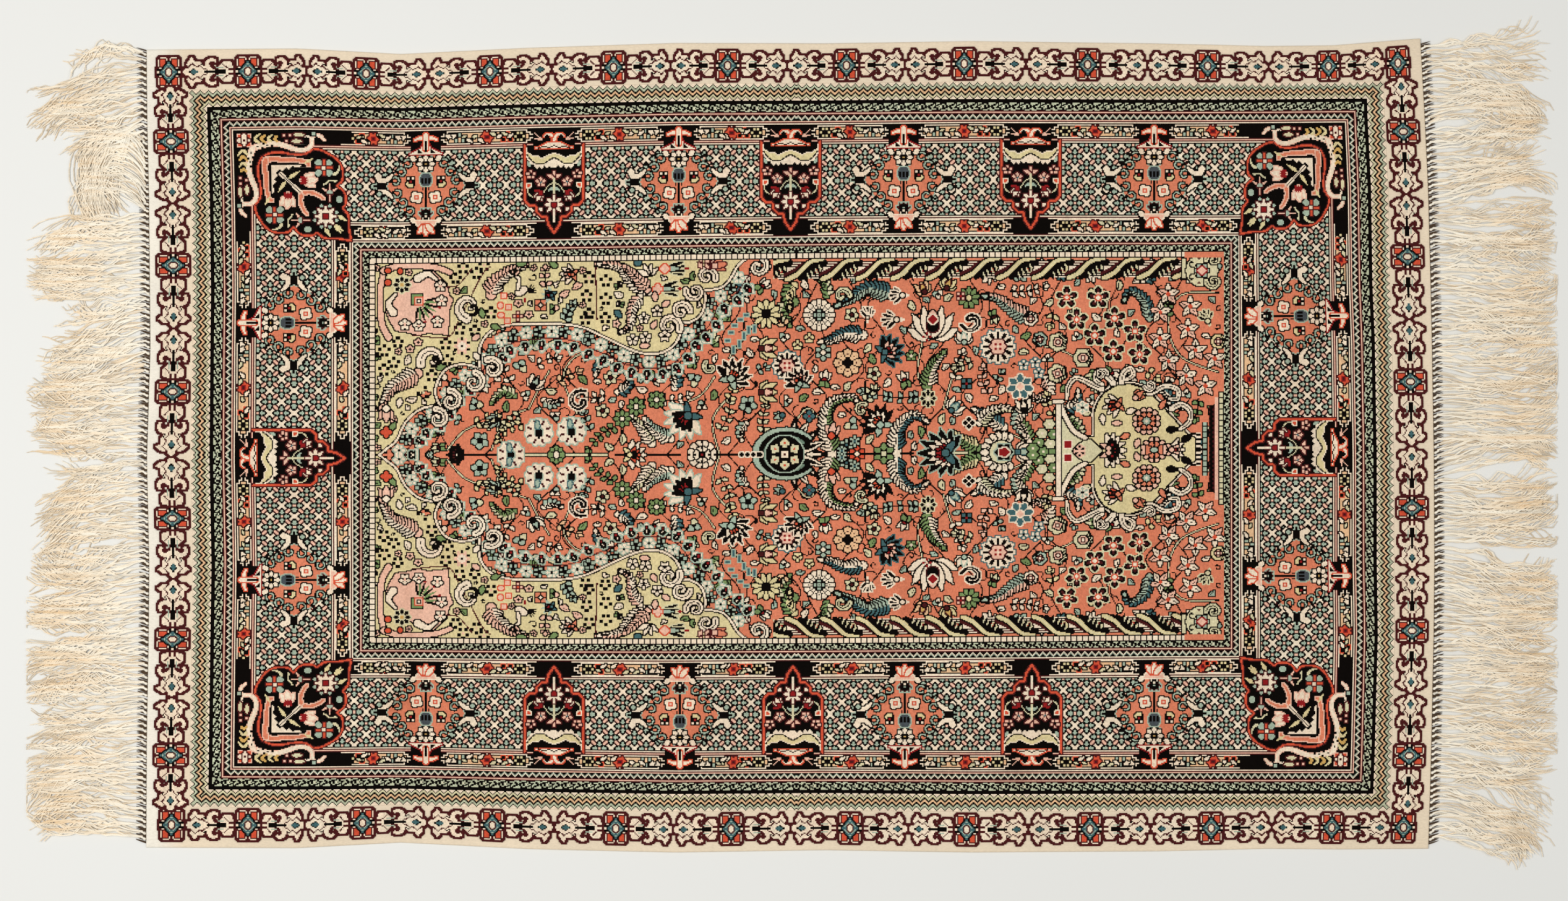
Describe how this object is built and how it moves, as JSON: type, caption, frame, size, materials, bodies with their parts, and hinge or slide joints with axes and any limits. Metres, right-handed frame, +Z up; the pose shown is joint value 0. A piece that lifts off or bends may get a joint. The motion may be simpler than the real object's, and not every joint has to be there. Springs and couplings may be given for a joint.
{
  "type": "silk rug",
  "caption": "Small knotted silk prayer rug lying flat, with a flat-woven outer border, raised border motifs, a pile middle and a knotted fringe on each short edge.",
  "frame": {"origin": "middle of the whole rug with its fringe, on the floor it lies on", "axes": "+X along the rug away from the arch of the prayer niche, +Y across it, +Z up from the floor"},
  "size_m": [1.4266, 0.7862, 0.0034],
  "materials": {
    "knotted_silk": "silk pile and flat-woven silk, soft sheen",
    "warp_yarn": "undyed plied warp yarn, matt"
  },
  "bodies": {
    "root": {"rug_body": "knotted_silk", "fringe_left": "warp_yarn", "fringe_right": "warp_yarn"}
  },
  "joints": []
}
